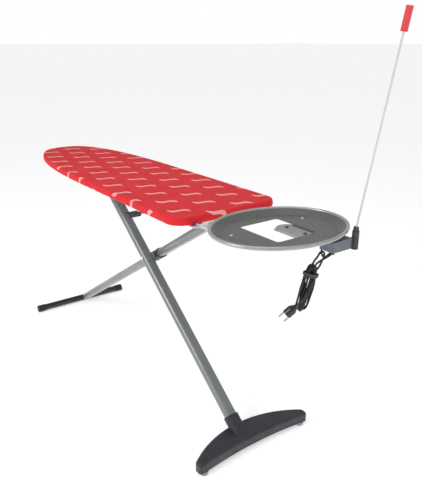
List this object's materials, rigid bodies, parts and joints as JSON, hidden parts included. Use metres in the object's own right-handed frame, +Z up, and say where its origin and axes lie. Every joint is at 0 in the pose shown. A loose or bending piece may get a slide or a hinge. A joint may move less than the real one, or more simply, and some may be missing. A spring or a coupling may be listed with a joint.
{
  "type": "ironing board",
  "caption": "Folding ironing board: padded board, crossed oval legs, moulded front foot, oval iron rest with a socket box, mains lead and sprung cord guide.",
  "frame": {"origin": "on the floor, under the middle of the object's box without its mains lead", "axes": "+X from the board's nose to the iron rest, +Y across to the far side, +Z up"},
  "size_m": [1.6889, 0.43, 1.2653],
  "materials": {
    "cover_cloth": "printed cotton",
    "felt": "needled felt",
    "deck_steel": "powder coat",
    "zinc_steel": "zinc plated",
    "leg_paint": "silver-grey enamel",
    "dark_plastic": "fine texture",
    "foot_plastic": "satin slate",
    "pad_rubber": "soft grey",
    "cap_rubber": "matt black",
    "foot_bar_paint": "satin black enamel",
    "nylon": "natural nylon",
    "rest_paint": "grey hammer enamel",
    "rim_paint": "light grey enamel",
    "tongue_paint": "light grey enamel",
    "screw_steel": "blackened",
    "socket_plastic": "blue-grey",
    "contact_brass": "stamped",
    "rod_steel": "bright wire",
    "grip_red": "soft red",
    "lever_grip_plastic": "ribbed",
    "cord_sheath": "black PVC",
    "plug_plastic": "black",
    "pin_nickel": "nickel plated"
  },
  "bodies": {
    "board": {"cover": "cover_cloth", "felt_pad": "felt", "deck_panel": "deck_steel", "rail_near": "zinc_steel", "rail_far": "zinc_steel", "rod_clips": "nylon", "return_spring": "zinc_steel", "rest_plate": "rest_paint", "rest_rim": "rim_paint", "rest_arm_near": "deck_steel", "rest_arm_far": "deck_steel", "arm_spacers": "nylon", "arm_bolts": "zinc_steel", "rest_rivets": "zinc_steel", "socket_tongue": "tongue_paint", "tongue_screws": "screw_steel", "socket_strap": "socket_plastic", "socket_box": "socket_plastic", "socket_lid": "socket_plastic", "socket_contacts": "contact_brass", "rod_holder": "dark_plastic", "cord_gland": "cord_sheath", "cord_hook": "dark_plastic", "cord_lead": "cord_sheath", "cord_loop": "cord_sheath", "cord_tail": "cord_sheath", "cord_hank": "cord_sheath", "hank_tie": "dark_plastic", "plug_body": "plug_plastic", "plug_pins": "pin_nickel", "cross_brace_1": "deck_steel", "cross_brace_2": "deck_steel", "cross_brace_3": "deck_steel", "cross_brace_4": "deck_steel"},
    "leg_b": {"leg_b_tube": "leg_paint", "leg_b_cap": "dark_plastic", "hinge_axle": "zinc_steel", "hinge_spacers": "nylon", "axle_caps": "dark_plastic", "pivot_block": "dark_plastic", "pivot_bolt": "zinc_steel", "pivot_nut": "zinc_steel", "pivot_washer": "nylon", "foot_b_bar": "foot_bar_paint", "foot_b_caps": "cap_rubber"},
    "leg_a": {"leg_a_tube": "leg_paint", "leg_a_cap": "dark_plastic", "slide_pin": "zinc_steel", "slide_rollers": "nylon", "foot_a": "foot_plastic", "foot_a_collar": "dark_plastic", "foot_a_pads": "pad_rubber"},
    "keeper": {"keeper_rod": "zinc_steel", "keeper_bar": "zinc_steel", "release_lever": "zinc_steel", "lever_grip": "lever_grip_plastic"},
    "cord_guide": {"guide_swivel": "dark_plastic", "guide_rod": "rod_steel", "guide_grip": "grip_red"}
  },
  "joints": [
    {"name": "leg_b_fold", "type": "hinge", "parent": "board", "child": "leg_b", "pos_m": [0.3425, 0, 0.7], "axis": [0, 1, 0], "range_deg": [-8, 29]},
    {"name": "leg_a_fold", "type": "hinge", "parent": "leg_b", "child": "leg_a", "pos_m": [-0.05463, 0, 0.4551], "axis": [0, 1, 0], "range_deg": [-63.29, 17.46]},
    {"name": "release_squeeze", "type": "hinge", "parent": "board", "child": "keeper", "pos_m": [0, -0.098, 0.7], "axis": [-1, 0, 0], "range_deg": [0, 10], "stiffness_Nm_per_rad": 0.8, "springref_deg": -20.05},
    {"name": "cord_guide_swivel", "type": "hinge", "parent": "board", "child": "cord_guide", "pos_m": [0.7495, 0.133, 0.74], "axis": [0, 0, 1], "continuous": true}
  ],
  "couplings": [
    {"joint": "leg_a_fold", "follows": "leg_b_fold", "ratio": -2.1825}
  ]
}
